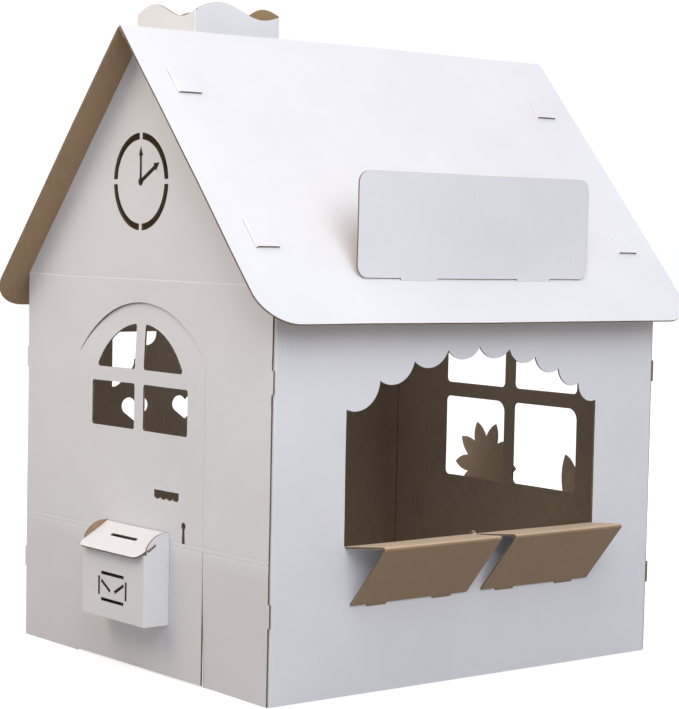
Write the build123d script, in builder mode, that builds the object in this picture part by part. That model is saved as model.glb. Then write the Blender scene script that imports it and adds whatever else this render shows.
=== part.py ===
from build123d import *
import os
from math import asin, atan2, cos, degrees, pi, radians, sin, sqrt, tan

# A cardboard playhouse, folded and slotted together from die-cut sheets of corrugated board.
# Millimetres, +Z up, door gable facing -Y, serving hatch on the +X side.
# The origin is on the floor under the middle of the whole footprint.

# Board, folds and fits
card = 4.0
fold_radius = 1.0
slot_clearance = 0.8
lay_gap = 0.3
score_width = 3.0
score_depth = 0.6

# House body
gable_width = 900.0
house_length = 1050.0
eave_height = 808.0
roof_pitch = 48.5
corner_step = 5.0
corner_tab_height = 46.0
corner_tab_places = (176.0, 624.0)
flange_width = 50.0
pack_crease_height = 275.0
pack_crease_spacing = 10.0

# Roof
eave_overhang = 64.0
verge_overhang = 62.0
roof_corner_radius = 80.0
ridge_flange = 30.0
ridge_lap = 2.0
roof_tab_width = 68.0
roof_tab_length = 55.0
roof_tab_places = (146.0, 552.0)

# Door, with its hinge crease on the left
door_width = 466.0
door_spring = 650.0
door_top = 760.0
door_gap = 1.0
door_lift = 3.0
door_sill_height = 495.0
door_pane_height = 95.0
door_bar = 30.0
door_muntin = 33.0
door_window_centre = -6.0
door_window_width = 356.0
door_window_radius = 183.0
door_window_top = 716.0
door_pane_corner = 6.0
finger_slot_place = (101.0, 367.0)
finger_slot_size = (88.0, 13.0)
finger_count = 4
keyhole_place = (164.0, 316.0)
keyhole_radius = 7.5
keyhole_length = 36.0
keyhole_flare = 11.0
keyhole_neck = 7.0

# Clock cut-out in the gable
clock_place = (-10.0, 1008.0)
clock_radius = 100.0
clock_ring = 14.0
clock_bridge = 10.0
clock_hub_radius = 8.5
minute_hand = (73.0, 8.0, 20.0, 16.0)
hour_hand = (78.0, 9.0, 20.0, 19.0)
hour_hand_angle = 60.0

# Letterbox on the door
letterbox_centre = -2.0
letterbox_width = 235.0
letterbox_depth = 60.0
letterbox_floor = 109.0
letterbox_top = 298.0
letterbox_shoulder = 288.0
letterbox_shoulder_depth = 38.0
letterbox_cheek_rise = 12.5
letterbox_tab_place = 206.0
letterbox_tab_height = 38.0
lid_slope = 32.0
lid_overhang = 15.0
lid_corner_radius = 18.0
lid_tab_width = 22.0
lid_tab_depth = 44.5
lid_tab_end = 1.0
posting_slot = (96.0, 8.0)
posting_slot_depth = 33.0
envelope_size = (108.0, 62.0)
envelope_height = 173.0
envelope_stroke = 7.0
envelope_bridge = 8.0

# Serving hatch and its two shelves
hatch_width = 690.0
hatch_sill = 298.0
hatch_jamb_drop = 241.0
hatch_arch_rise = 119.0
scallop_count = 9
scallop_first = 100.0
scallop_last = 65.0
scallop_bow = 0.26
shelf_gap = 12.0
sill_nub = (10.0, 8.0)
shelf_side_gap = 3.0
shelf_depth = 105.0
shelf_rise = 11.0
shelf_taper = 14.0
shelf_foot = 181.0
shelf_tab_width = 50.0
shelf_tab_spacing = 172.0

# Curtain and heart cut-outs in the left wall
curtain_edge = 305.0
curtain_width = 121.0
curtain_drop = 133.0
curtain_height = 126.0
curtain_lobes = 4
heart_places = (102.0, 242.0)
heart_tip_drop = 342.0
heart_lobe_rise = 37.0
heart_lobe_radius = 19.5
heart_lobe_offset = 17.0

# Rear window and flower box
rear_window_width = 452.0
rear_sill_height = 328.0
rear_pane_height = 193.0
rear_muntin = 33.0
rear_bar = 34.0
rear_pane_corner = 12.0
rear_pane_soft_corner = 26.0
flower_box_width = 620.0
flower_box_depth = 90.0
flower_box_floor = 190.0
flower_box_top = 300.0
flower_box_tab_place = 245.0
flower_box_tab_height = 40.0
daisy_place = (-177.0, 348.0)
daisy_radius = 109.0
daisy_heart = 66.0
daisy_petals = 10
petal_bow = 0.1
tulip_place = 165.0
tulip_width = 126.0
tulip_tip = 400.0
tulip_notch = 370.0
tulip_bow = 0.1

# Chimney on the left slope
chimney_width = 220.0
chimney_ridge_gap = 12.0
chimney_setback = 130.0
chimney_rise = 56.4
chimney_wave = 15.0
chimney_crest = 65.0
chimney_tab_width = 60.0

# Board on the roof
sign_width = 634.0
sign_height = 210.0
sign_corner_radius = 25.0
sign_inset = 5.0
sign_tab_width = 95.0
sign_tab_spacing = 316.0

# How far a tab reaches past the sheet that holds it
tab_reach = 12.0

# Worked out from the sizes above
pitch = radians(roof_pitch)
slope_x = cos(pitch)
slope_z = sin(pitch)
bend_radius = fold_radius + card / 2
half_width = gable_width / 2
half_length = house_length / 2
side_face = half_width + corner_step
ridge_height = eave_height + half_width * tan(pitch)
roof_run = (half_width + eave_overhang) / slope_x
eave_reach = half_width + eave_overhang + card * slope_z
verge_reach = half_length + verge_overhang
shelf_reach = side_face + shelf_depth
lid_reach = letterbox_depth + lid_overhang
house_x = (eave_reach - max(eave_reach, shelf_reach)) / 2
house_y = (max(verge_reach, half_length + lid_reach) - max(verge_reach, half_length + flower_box_depth)) / 2
front_face = house_y - half_length
rear_face = house_y + half_length
slot_card = card + 2 * slot_clearance
side_height = eave_height - corner_step * tan(pitch) - lay_gap
chimney_top = ridge_height + chimney_rise
hatch_jamb_top = eave_height - hatch_jamb_drop
curtain_top = eave_height - curtain_drop
heart_tip = eave_height - heart_tip_drop

# Each sheet is drawn on its outer face, seen from outside
front_plane = Plane((house_x, front_face, 0), x_dir=(1, 0, 0), z_dir=(0, -1, 0))
rear_plane = Plane((house_x, rear_face, 0), x_dir=(-1, 0, 0), z_dir=(0, 1, 0))
right_plane = Plane((house_x + side_face, house_y, 0), x_dir=(0, 1, 0), z_dir=(1, 0, 0))
left_plane = Plane((house_x - side_face, house_y, 0), x_dir=(0, -1, 0), z_dir=(-1, 0, 0))
ridge_point = (house_x, house_y, ridge_height)
slope_right = Plane(ridge_point, x_dir=(0, 1, 0), z_dir=(slope_z, 0, slope_x))
slope_left = Plane(ridge_point, x_dir=(0, -1, 0), z_dir=(-slope_z, 0, slope_x))


def folded_strip(plane, corners, span):
    # A strip of board bent along a line of corners, as wide as span
    with BuildSketch(plane) as profile:
        with BuildLine():
            FilletPolyline(*corners, radius=bend_radius)
        trace(line_width=card)
    extrude(profile.sketch, amount=span / 2, both=True)


def gable_outline(hatch_side):
    # The gable is notched at its peak, on the hatch side, for the ridge flange
    notch = card + lay_gap
    notch_run = ridge_flange + 2 * slot_clearance
    notch_x = notch_run * slope_x
    notch_z = ridge_height - notch_run * slope_z
    peak_x = -notch / (2 * slope_z)
    peak_z = ridge_height - notch / (2 * slope_x) - 2 * fold_radius * slope_z
    peak_half = 2 * fold_radius * slope_x
    outline = [
        (-half_width, 0),
        (half_width, 0),
        (half_width, eave_height),
        (notch_x, notch_z),
        (notch_x - notch * slope_z, notch_z - notch * slope_x),
        (peak_x + peak_half, peak_z),
        (peak_x - peak_half, peak_z),
        (-half_width, eave_height),
    ]
    Polygon(*[(x * hatch_side, z) for x, z in outline], align=None)
    with Locations(*[(0, place) for place in corner_tab_places]):
        Rectangle(2 * side_face, corner_tab_height)


def roof_tabs(wall_face, inward):
    # Tabs that rise through the roof slots and fold flat on the roof
    rise = card + lay_gap + card / 2
    along = Vector(0, inward, 0)
    for side in (-1, 1):
        normal = Vector(side * slope_z, 0, slope_x)
        for place in roof_tab_places:
            foot = (house_x + side * place * slope_x, wall_face, ridge_height - place * slope_z)
            folded_strip(
                Plane(foot, x_dir=along, z_dir=along.cross(normal)),
                [(card / 2, -card), (card / 2, rise), (roof_tab_length, rise)],
                roof_tab_width,
            )


def bowed_edge(points, bow):
    # Arcs from point to point, each bowed to the right by a share of its length
    for start, end in zip(points, points[1:]):
        run = Vector(*end) - Vector(*start)
        middle = (Vector(*start) + Vector(*end)) / 2
        ThreePointArc(start, middle + Vector(run.Y, -run.X) * bow, end)


def side_sheet(side):
    # A side wall with a flange folded in at each end, behind the gables
    flange_line = half_length - 1.5 * card
    skin = side * (side_face - card / 2)
    flange_end = side * (side_face - flange_width)
    folded_strip(
        Plane((house_x, house_y, side_height / 2)),
        [(flange_end, -flange_line), (skin, -flange_line), (skin, flange_line), (flange_end, flange_line)],
        side_height,
    )


def roof_slots(plane):
    # Slots that the gable tabs rise through
    slot_line = half_length - card / 2
    places = [(side * slot_line, -place) for side in (-1, 1) for place in roof_tab_places]
    with BuildSketch(plane) as slots:
        with Locations(*places):
            Rectangle(slot_card, roof_tab_width + 2 * slot_clearance)
    extrude(slots.sketch, amount=card, mode=Mode.SUBTRACT)


def crease_lines(plane, width, heights):
    # Shallow scores pressed into the outer face
    with BuildSketch(plane) as scores:
        with Locations(*[(0, height) for height in heights]):
            Rectangle(width, score_width)
    extrude(scores.sketch, amount=-score_depth, mode=Mode.SUBTRACT)


pack_creases = [pack_crease_height + step * pack_crease_spacing / 2 for step in (-1, 1)]
wall_creases = [eave_height] + pack_creases

door_half = door_width / 2
door_rise = door_top - door_spring
arch_radius = (door_half**2 + door_rise**2) / (2 * door_rise)


def door_outline(gap, foot):
    # Straight sides under one arc, kept a gap inside the cut in the wall
    half = door_half - gap
    radius = arch_radius - gap
    spring = door_top - arch_radius + sqrt(radius**2 - half**2)
    with BuildLine() as edge:
        Polyline((-half, spring), (-half, foot), (half, foot), (half, spring))
        ThreePointArc((half, spring), (0, door_top - gap), (-half, spring))
    make_face(edge.edges())


def clock_hand(length, width, head_length, head_width):
    Rectangle(width, length - head_length, align=(Align.CENTER, Align.MIN))
    neck = length - head_length
    Polygon((-head_width / 2, neck), (head_width / 2, neck), (0, length), align=None)


# Front wall: gable sheet with the door opening and the clock
clock_centre = (house_x + clock_place[0], front_face, clock_place[1])
clock_plane = Plane(clock_centre, x_dir=(1, 0, 0), z_dir=(0, -1, 0))
hour_turn = radians(hour_hand_angle)
hour_plane = Plane(clock_centre, x_dir=(cos(hour_turn), 0, -sin(hour_turn)), z_dir=(0, -1, 0))
with BuildPart() as front_wall:
    with BuildSketch(front_plane) as front_sheet:
        gable_outline(1)
    extrude(front_sheet.sketch, amount=-card)
    with BuildSketch(front_plane) as doorway:
        door_outline(0, -card)
    extrude(doorway.sketch, amount=-card, mode=Mode.SUBTRACT)
    with BuildSketch(clock_plane) as clock_face:
        Circle(clock_radius)
        Circle(clock_radius - clock_ring, mode=Mode.SUBTRACT)
        Rectangle(clock_bridge, 2 * clock_radius, mode=Mode.SUBTRACT)
        Rectangle(2 * clock_radius, clock_bridge, mode=Mode.SUBTRACT)
        Circle(clock_hub_radius)
        clock_hand(*minute_hand)
    extrude(clock_face.sketch, amount=-card, mode=Mode.SUBTRACT)
    with BuildSketch(hour_plane) as hour_cut:
        clock_hand(*hour_hand)
    extrude(hour_cut.sketch, amount=-card, mode=Mode.SUBTRACT)
    crease_lines(front_plane, gable_width, wall_creases)
    roof_tabs(front_face, 1)
front_wall.part.label = "front_wall"

# Letterbox places that the door, the box and the lid share
box_half = letterbox_width / 2
box_sides = [letterbox_centre - box_half + card / 2, letterbox_centre + box_half - card / 2]
lid_angle = radians(lid_slope)
lid_plane = Plane(
    (house_x + letterbox_centre, front_face, letterbox_top),
    x_dir=(1, 0, 0),
    z_dir=(0, -sin(lid_angle), cos(lid_angle)),
)
lid_half = box_half - card - slot_clearance
lid_tab_run = lid_tab_depth / cos(lid_angle)
lid_back_gap = card * tan(lid_angle) + lay_gap

# Door: arched leaf, hinged at the crease on its left edge
with BuildPart() as door:
    with BuildSketch(front_plane) as leaf:
        door_outline(door_gap, door_lift)
    extrude(leaf.sketch, amount=-card)
    with BuildSketch(front_plane) as panes:
        bar_top = door_sill_height + door_pane_height + door_bar
        with Locations((door_window_centre, door_window_top - door_window_radius)):
            Circle(door_window_radius)
        with Locations((door_window_centre, bar_top)):
            Rectangle(
                2 * door_window_radius,
                2 * door_window_radius,
                align=(Align.CENTER, Align.MIN),
                mode=Mode.INTERSECT,
            )
        with Locations((door_window_centre, door_sill_height)):
            Rectangle(door_window_width, door_pane_height, align=(Align.CENTER, Align.MIN))
        with Locations((door_window_centre, 0)):
            Rectangle(door_muntin, 2 * door_top, mode=Mode.SUBTRACT)
        fillet(panes.vertices(), radius=door_pane_corner)
    extrude(panes.sketch, amount=-card, mode=Mode.SUBTRACT)
    with BuildSketch(front_plane) as finger_slot:
        finger_radius = finger_slot_size[0] / finger_count / 2
        with Locations(finger_slot_place):
            Rectangle(*finger_slot_size, align=(Align.CENTER, Align.MIN))
            with GridLocations(2 * finger_radius, 1, finger_count, 1):
                Ellipse(finger_radius, finger_radius / 2)
    extrude(finger_slot.sketch, amount=-card, mode=Mode.SUBTRACT)
    with BuildSketch(front_plane) as keyhole:
        with Locations(keyhole_place):
            Circle(keyhole_radius)
            Trapezoid(
                keyhole_flare,
                keyhole_length,
                90 - degrees(atan2(keyhole_flare - keyhole_neck, 2 * keyhole_length)),
                align=(Align.CENTER, Align.MAX),
            )
    extrude(keyhole.sketch, amount=-card, mode=Mode.SUBTRACT)
    with BuildSketch(front_plane) as letterbox_slots:
        with Locations(*[(x, letterbox_tab_place) for x in box_sides]):
            Rectangle(slot_card, letterbox_tab_height + 2 * slot_clearance)
    extrude(letterbox_slots.sketch, amount=-card, mode=Mode.SUBTRACT)
    crease_lines(front_plane, door_width, pack_creases)
door.part.label = "door"

# Letterbox: front and sides folded from one strip, with a floor and arched cheeks
with BuildPart() as letterbox:
    with BuildSketch(Plane((house_x, front_face, letterbox_floor))) as wrap:
        front_line = card / 2 - letterbox_depth
        with BuildLine():
            FilletPolyline(
                (box_sides[0], -lay_gap),
                (box_sides[0], front_line),
                (box_sides[1], front_line),
                (box_sides[1], -lay_gap),
                radius=bend_radius,
            )
        trace(line_width=card)
    extrude(wrap.sketch, amount=letterbox_top - letterbox_floor)
    front_top = letterbox_top - letterbox_depth * tan(lid_angle) - card / cos(lid_angle) - lay_gap
    cheek_depth = letterbox_depth - card - fold_radius
    cheek_end = front_top + letterbox_cheek_rise
    cheek_plane = Plane((house_x + letterbox_centre, front_face, 0), x_dir=(0, 1, 0), z_dir=(1, 0, 0))
    with BuildSketch(cheek_plane) as above_cheeks:
        with BuildLine():
            ThreePointArc(
                (0, letterbox_top),
                (-letterbox_shoulder_depth, letterbox_shoulder),
                (-cheek_depth, cheek_end),
            )
            Polyline(
                (-cheek_depth, cheek_end),
                (-cheek_depth, front_top),
                (-letterbox_depth - card, front_top),
                (-letterbox_depth - card, letterbox_top + card),
                (0, letterbox_top + card),
                (0, letterbox_top),
            )
        make_face()
    extrude(above_cheeks.sketch, amount=letterbox_width, both=True, mode=Mode.SUBTRACT)
    with Locations((house_x + letterbox_centre, front_face - lay_gap, letterbox_floor)):
        Box(
            2 * lid_half,
            letterbox_depth - card - lay_gap,
            card,
            align=(Align.CENTER, Align.MAX, Align.MIN),
        )
    with BuildSketch(lid_plane.offset(-card / 2)) as lid_slots:
        with Locations((0, -lid_tab_run)):
            Rectangle(2 * letterbox_width, lid_tab_width + 2 * slot_clearance)
    extrude(lid_slots.sketch, amount=slot_card / 2, both=True, mode=Mode.SUBTRACT)
    with BuildSketch(front_plane.offset(lay_gap)) as door_tabs:
        with Locations(*[(x, letterbox_tab_place) for x in box_sides]):
            Rectangle(card, letterbox_tab_height)
    extrude(door_tabs.sketch, amount=-card - lay_gap - tab_reach)
    # An envelope cut as a stencil in the front, with a bridge of card at each corner
    envelope_plane = Plane(
        (house_x + letterbox_centre, front_face - letterbox_depth, envelope_height),
        x_dir=(1, 0, 0),
        z_dir=(0, -1, 0),
    )
    edge_x = (envelope_size[0] - envelope_stroke) / 2
    edge_z = (envelope_size[1] - envelope_stroke) / 2
    flap_start = (envelope_bridge, -envelope_bridge)
    flap_end = (edge_x - envelope_bridge, edge_z - 2 * envelope_bridge)
    with BuildSketch(envelope_plane) as envelope:
        with Locations((0, edge_z), (0, -edge_z)):
            Rectangle(2 * (edge_x - envelope_bridge), envelope_stroke)
        with Locations((edge_x, 0), (-edge_x, 0)):
            Rectangle(envelope_stroke, 2 * (edge_z - envelope_bridge))
        for side in (-1, 1):
            with BuildLine() as flap_line:
                Line((side * flap_end[0], flap_end[1]), (side * flap_start[0], flap_start[1]))
            trace(flap_line.line, line_width=envelope_stroke)
    extrude(envelope.sketch, amount=-card, mode=Mode.SUBTRACT)
letterbox.part.label = "letterbox"

# Letterbox lid: slopes forward between the cheeks, with a tab in each cheek
with BuildPart() as letterbox_lid:
    with BuildSketch(lid_plane) as lid_sheet:
        lid_front = lid_reach / cos(lid_angle)
        with Locations((0, -lid_back_gap)):
            Rectangle(2 * lid_half, lid_front - lid_back_gap, align=(Align.CENTER, Align.MAX))
        fillet(lid_sheet.vertices().group_by(Axis.Y)[0], radius=lid_corner_radius)
        with Locations((0, -lid_tab_run)):
            Rectangle(letterbox_width + 2 * lid_tab_end, lid_tab_width)
        with Locations((0, -posting_slot_depth / cos(lid_angle))):
            SlotOverall(*posting_slot, mode=Mode.SUBTRACT)
    extrude(lid_sheet.sketch, amount=-card)
letterbox_lid.part.label = "letterbox_lid"

# Rear wall: gable sheet with a four-pane window
flower_sides = [side * (flower_box_width - card) / 2 for side in (-1, 1)]
with BuildPart() as rear_wall:
    with BuildSketch(rear_plane) as rear_sheet:
        gable_outline(-1)
    extrude(rear_sheet.sketch, amount=-card)
    pane_width = (rear_window_width - rear_muntin) / 2
    pane_x = (pane_width + rear_muntin) / 2
    for row in (0, 1):
        for side in (-1, 1):
            pane_z = rear_sill_height + row * (rear_pane_height + rear_bar)
            with BuildSketch(rear_plane) as pane:
                with Locations((side * pane_x, pane_z)):
                    Rectangle(pane_width, rear_pane_height, align=(Align.CENTER, Align.MIN))
                corners = pane.vertices()
                soft = corners.group_by(Axis.Y)[-1].sort_by(Axis.X)[0]
                fillet([corner for corner in corners if corner != soft], radius=rear_pane_corner)
                fillet(pane.vertices().sort_by_distance(soft)[0], radius=rear_pane_soft_corner)
            extrude(pane.sketch, amount=-card, mode=Mode.SUBTRACT)
    with BuildSketch(rear_plane) as trough_slots:
        with Locations(*[(x, flower_box_tab_place) for x in flower_sides]):
            Rectangle(slot_card, flower_box_tab_height + 2 * slot_clearance)
    extrude(trough_slots.sketch, amount=-card, mode=Mode.SUBTRACT)
    crease_lines(rear_plane, gable_width, wall_creases)
    roof_tabs(rear_face, -1)
rear_wall.part.label = "rear_wall"

# Flower box: trough folded round three sides, with flowers standing on its outer panel
with BuildPart() as flower_box:
    with BuildSketch(Plane((house_x, rear_face, flower_box_floor))) as trough:
        panel_line = flower_box_depth - card / 2
        with BuildLine():
            FilletPolyline(
                (flower_sides[0], lay_gap),
                (flower_sides[0], panel_line),
                (flower_sides[1], panel_line),
                (flower_sides[1], lay_gap),
                radius=bend_radius,
            )
        trace(line_width=card)
    extrude(trough.sketch, amount=flower_box_top - flower_box_floor)
    with Locations((house_x, rear_face + lay_gap, flower_box_floor)):
        Box(
            flower_box_width - 2 * card - 2 * slot_clearance,
            flower_box_depth - card - lay_gap,
            card,
            align=(Align.CENTER, Align.MIN, Align.MIN),
        )
    with BuildSketch(rear_plane) as trough_tabs:
        with Locations(*[(x, flower_box_tab_place) for x in flower_sides]):
            Rectangle(card, flower_box_tab_height)
    extrude(trough_tabs.sketch, amount=-card - tab_reach)
    extrude(trough_tabs.sketch, amount=card)
    petal_tips = []
    for step in range(2 * daisy_petals + 1):
        reach = daisy_radius if step % 2 else daisy_heart
        turn = step * pi / daisy_petals
        petal_tips.append((reach * sin(turn) - daisy_place[0], reach * cos(turn) + daisy_place[1]))
    with BuildSketch(rear_plane.offset(flower_box_depth)) as daisy:
        with BuildLine():
            bowed_edge(petal_tips, -petal_bow)
        make_face()
    extrude(daisy.sketch, amount=-card)
    tulip_half = tulip_width / 2
    tulip_root = flower_box_top - card
    tulip_edge = [
        (-tulip_place - tulip_half, tulip_root),
        (-tulip_place - tulip_half, tulip_tip),
        (-tulip_place - tulip_half / 2, tulip_notch),
        (-tulip_place, tulip_tip),
        (-tulip_place + tulip_half / 2, tulip_notch),
        (-tulip_place + tulip_half, tulip_tip),
        (-tulip_place + tulip_half, tulip_root),
    ]
    with BuildSketch(rear_plane.offset(flower_box_depth)) as tulip:
        with BuildLine():
            bowed_edge(tulip_edge, -tulip_bow)
            Line(tulip_edge[-1], tulip_edge[0])
        make_face()
    extrude(tulip.sketch, amount=-card)
flower_box.part.label = "flower_box"

# Right wall: serving hatch under a scalloped arch, with two shelves folded out over its sill
hatch_half = hatch_width / 2
hatch_radius = (hatch_half**2 + hatch_arch_rise**2) / (2 * hatch_arch_rise)
hatch_centre = hatch_jamb_top + hatch_arch_rise - hatch_radius
hatch_sweep = 2 * asin(hatch_half / hatch_radius)
scallop_change = (scallop_last - scallop_first) / (scallop_count - 1)
scallops = [scallop_first + scallop_change * i for i in range(scallop_count)]
scallop_points = []
for i in range(scallop_count + 1):
    turn = hatch_sweep * (sum(scallops[:i]) / sum(scallops) - 0.5)
    scallop_points.append((hatch_radius * sin(turn), hatch_centre + hatch_radius * cos(turn)))

# Seen from the side, the shelf's top and front are lines that just meet its outer bend
shelf_foot_x = card / 2
bend_x = shelf_depth - card / 2 - bend_radius
bend_z = hatch_sill + shelf_rise - card / 2 - bend_radius
top_run = bend_x + card / 2
top_rise = bend_z - hatch_sill + card / 2
shelf_tilt = atan2(top_rise, top_run) + asin(bend_radius / sqrt(top_run**2 + top_rise**2))
front_run = bend_x - shelf_foot_x
front_rise = bend_z - shelf_foot
shelf_lean = atan2(front_rise, front_run) - asin(bend_radius / sqrt(front_run**2 + front_rise**2))
front_start = (hatch_sill - card / 2 - shelf_foot) + (shelf_foot_x + card / 2) * tan(shelf_tilt)
shelf_edge = front_start / (tan(shelf_lean) - tan(shelf_tilt))
shelf_corner = (shelf_foot_x + shelf_edge, shelf_foot + shelf_edge * tan(shelf_lean))
shelf_front = shelf_edge / cos(shelf_lean)
shelf_tab_length = (shelf_foot_x + card) / cos(shelf_lean) + tab_reach
shelf_flap = hatch_half - shelf_side_gap - shelf_gap / 2
with BuildPart() as right_wall:
    side_sheet(1)
    with BuildSketch(right_plane) as hatch:
        with BuildLine():
            bowed_edge(scallop_points, scallop_bow)
            Polyline(
                scallop_points[-1],
                (hatch_half, hatch_sill),
                (-hatch_half, hatch_sill),
                scallop_points[0],
            )
        make_face()
    extrude(hatch.sketch, amount=-card, mode=Mode.SUBTRACT)
    for side in (-1, 1):
        shelf_y = house_y + side * (shelf_gap + shelf_flap) / 2
        tab_places = [(step * shelf_tab_spacing / 2, card) for step in (-1, 1)]
        lean_plane = Plane(
            (house_x + side_face + shelf_foot_x, shelf_y, shelf_foot),
            x_dir=(0, 1, 0),
            z_dir=(sin(shelf_lean), 0, -cos(shelf_lean)),
        )
        with BuildSketch(lean_plane) as shelf_slots:
            with Locations(*tab_places):
                Rectangle(
                    shelf_tab_width + 2 * slot_clearance,
                    shelf_tab_length + card,
                    align=(Align.CENTER, Align.MAX),
                )
        extrude(shelf_slots.sketch, amount=slot_card / 2, both=True, mode=Mode.SUBTRACT)
        folded_strip(
            Plane((house_x + side_face, shelf_y, 0), x_dir=(1, 0, 0), z_dir=(0, -1, 0)),
            [
                (-card / 2, (hatch_sill + shelf_foot) / 2),
                (-card / 2, hatch_sill - card / 2),
                shelf_corner,
                (shelf_foot_x, shelf_foot),
            ],
            shelf_flap,
        )
        top_plane = Plane(
            (house_x + side_face, shelf_y, hatch_sill),
            x_dir=(0, -1, 0),
            z_dir=(-sin(shelf_tilt), 0, cos(shelf_tilt)),
        )
        with BuildSketch(top_plane) as top_taper:
            for edge in (-1, 1):
                edge_x = edge * shelf_flap / 2
                Polygon(
                    (edge_x, 0),
                    (edge_x, 2 * shelf_depth),
                    (edge_x - 2 * edge * shelf_taper, 2 * shelf_depth),
                    align=None,
                )
        extrude(top_taper.sketch, amount=3 * card, both=True, mode=Mode.SUBTRACT)
        with BuildSketch(lean_plane) as front_taper:
            with Locations((-shelf_flap / 2, 0), (shelf_flap / 2, 0)):
                Rectangle(2 * shelf_taper, shelf_front, align=(Align.CENTER, Align.MIN))
        extrude(front_taper.sketch, amount=card / 2 + lay_gap, both=True, mode=Mode.SUBTRACT)
        with BuildSketch(lean_plane) as shelf_tabs:
            with Locations(*tab_places):
                Rectangle(shelf_tab_width, shelf_tab_length + card, align=(Align.CENTER, Align.MAX))
        extrude(shelf_tabs.sketch, amount=card / 2, both=True)
    with BuildSketch(right_plane) as nub:
        with Locations((0, hatch_sill)):
            SlotOverall(2 * sill_nub[1], sill_nub[0], rotation=90)
    extrude(nub.sketch, amount=-card)
right_wall.part.label = "right_wall"

# Left wall: two curtain shapes and a row of hearts
with BuildPart() as left_wall:
    side_sheet(-1)
    for side in (-1, 1):
        frill = []
        for step in range(curtain_lobes + 1):
            share = step / curtain_lobes
            frill_x = curtain_edge - curtain_width * (1 - share)
            frill.append((side * frill_x, curtain_top - curtain_height * share))
        with BuildSketch(left_plane) as curtain:
            with BuildLine():
                bowed_edge(frill, side * scallop_bow)
                Polyline(frill[-1], (side * curtain_edge, curtain_top), frill[0])
            make_face()
        extrude(curtain.sketch, amount=-card, mode=Mode.SUBTRACT)
    heart_span = sqrt(heart_lobe_offset**2 + heart_lobe_rise**2)
    heart_side = sqrt(heart_span**2 - heart_lobe_radius**2)
    heart_lean = atan2(heart_lobe_offset, heart_lobe_rise) + asin(heart_lobe_radius / heart_span)
    heart_cheek = (heart_side * sin(heart_lean), heart_side * cos(heart_lean))
    for place in heart_places:
        with BuildSketch(left_plane) as hearts:
            with Locations((-place, heart_tip), (place, heart_tip)):
                with Locations((-heart_lobe_offset, heart_lobe_rise), (heart_lobe_offset, heart_lobe_rise)):
                    Circle(heart_lobe_radius)
                Polygon(
                    (0, 0),
                    heart_cheek,
                    (heart_lobe_offset, heart_lobe_rise),
                    (-heart_lobe_offset, heart_lobe_rise),
                    (-heart_cheek[0], heart_cheek[1]),
                    align=None,
                )
        extrude(hearts.sketch, amount=-card, mode=Mode.SUBTRACT)
left_wall.part.label = "left_wall"

# Board that stands on the right slope
sign_x = half_width - sign_inset - card / 2
sign_foot = ridge_height - (sign_x - card / 2) * tan(pitch) + card / slope_x + lay_gap
sign_plane = Plane((house_x + sign_x, house_y, sign_foot), x_dir=(0, 1, 0), z_dir=(1, 0, 0))
sign_places = [house_y + side * sign_tab_spacing / 2 for side in (-1, 1)]
with BuildPart() as roof_sign:
    with BuildSketch(sign_plane) as board:
        with Locations((0, sign_height / 2)):
            RectangleRounded(sign_width, sign_height, sign_corner_radius)
        with Locations(*[(side * sign_tab_spacing / 2, card) for side in (-1, 1)]):
            Rectangle(
                sign_tab_width,
                card + card / slope_x + tab_reach,
                align=(Align.CENTER, Align.MAX),
            )
    extrude(board.sketch, amount=card / 2, both=True)
roof_sign.part.label = "roof_sign"

# Right slope of the roof, lapped over the ridge flange
with BuildPart() as roof_right:
    with BuildSketch(slope_right) as right_sheet:
        RectangleRounded(2 * verge_reach, 2 * roof_run, roof_corner_radius)
        with Locations((0, ridge_lap)):
            Rectangle(2 * verge_reach, roof_run, align=(Align.CENTER, Align.MIN), mode=Mode.SUBTRACT)
    extrude(right_sheet.sketch, amount=card)
    roof_slots(slope_right)
    with Locations(*[(house_x + sign_x, y, sign_foot) for y in sign_places]):
        Box(slot_card, sign_tab_width + 2 * slot_clearance, 10 * card, mode=Mode.SUBTRACT)
roof_right.part.label = "roof_right"

# Left slope of the roof, with the ridge flange folded under the right slope
chimney_x = house_x - chimney_ridge_gap - chimney_width / 2
chimney_y = front_face + chimney_setback + chimney_width / 2
chimney_tabs = []
for side in (-1, 1):
    tab_x = chimney_x + side * (chimney_width - card) / 2
    chimney_tabs.append((tab_x, chimney_y, ridge_height - (house_x - tab_x) * tan(pitch) - tab_reach))
with BuildPart() as roof_left:
    folded_strip(
        Plane(ridge_point, x_dir=(1, 0, 0), z_dir=(0, -1, 0)),
        [
            (-roof_run * slope_x - card / 2 * slope_z, -roof_run * slope_z + card / 2 * slope_x),
            (-card / (2 * slope_z), 0),
            (ridge_flange * slope_x - card / 2 * slope_z, -ridge_flange * slope_z - card / 2 * slope_x),
        ],
        2 * verge_reach,
    )
    with BuildSketch(slope_left) as left_trim:
        Rectangle(2 * verge_reach, 2 * roof_run)
        RectangleRounded(2 * verge_reach, 2 * roof_run, roof_corner_radius, mode=Mode.SUBTRACT)
    extrude(left_trim.sketch, amount=card, mode=Mode.SUBTRACT)
    roof_slots(slope_left)
    with Locations(*chimney_tabs):
        Box(slot_card, chimney_tab_width + 2 * slot_clearance, 20 * card, mode=Mode.SUBTRACT)
roof_left.part.label = "roof_left"

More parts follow.
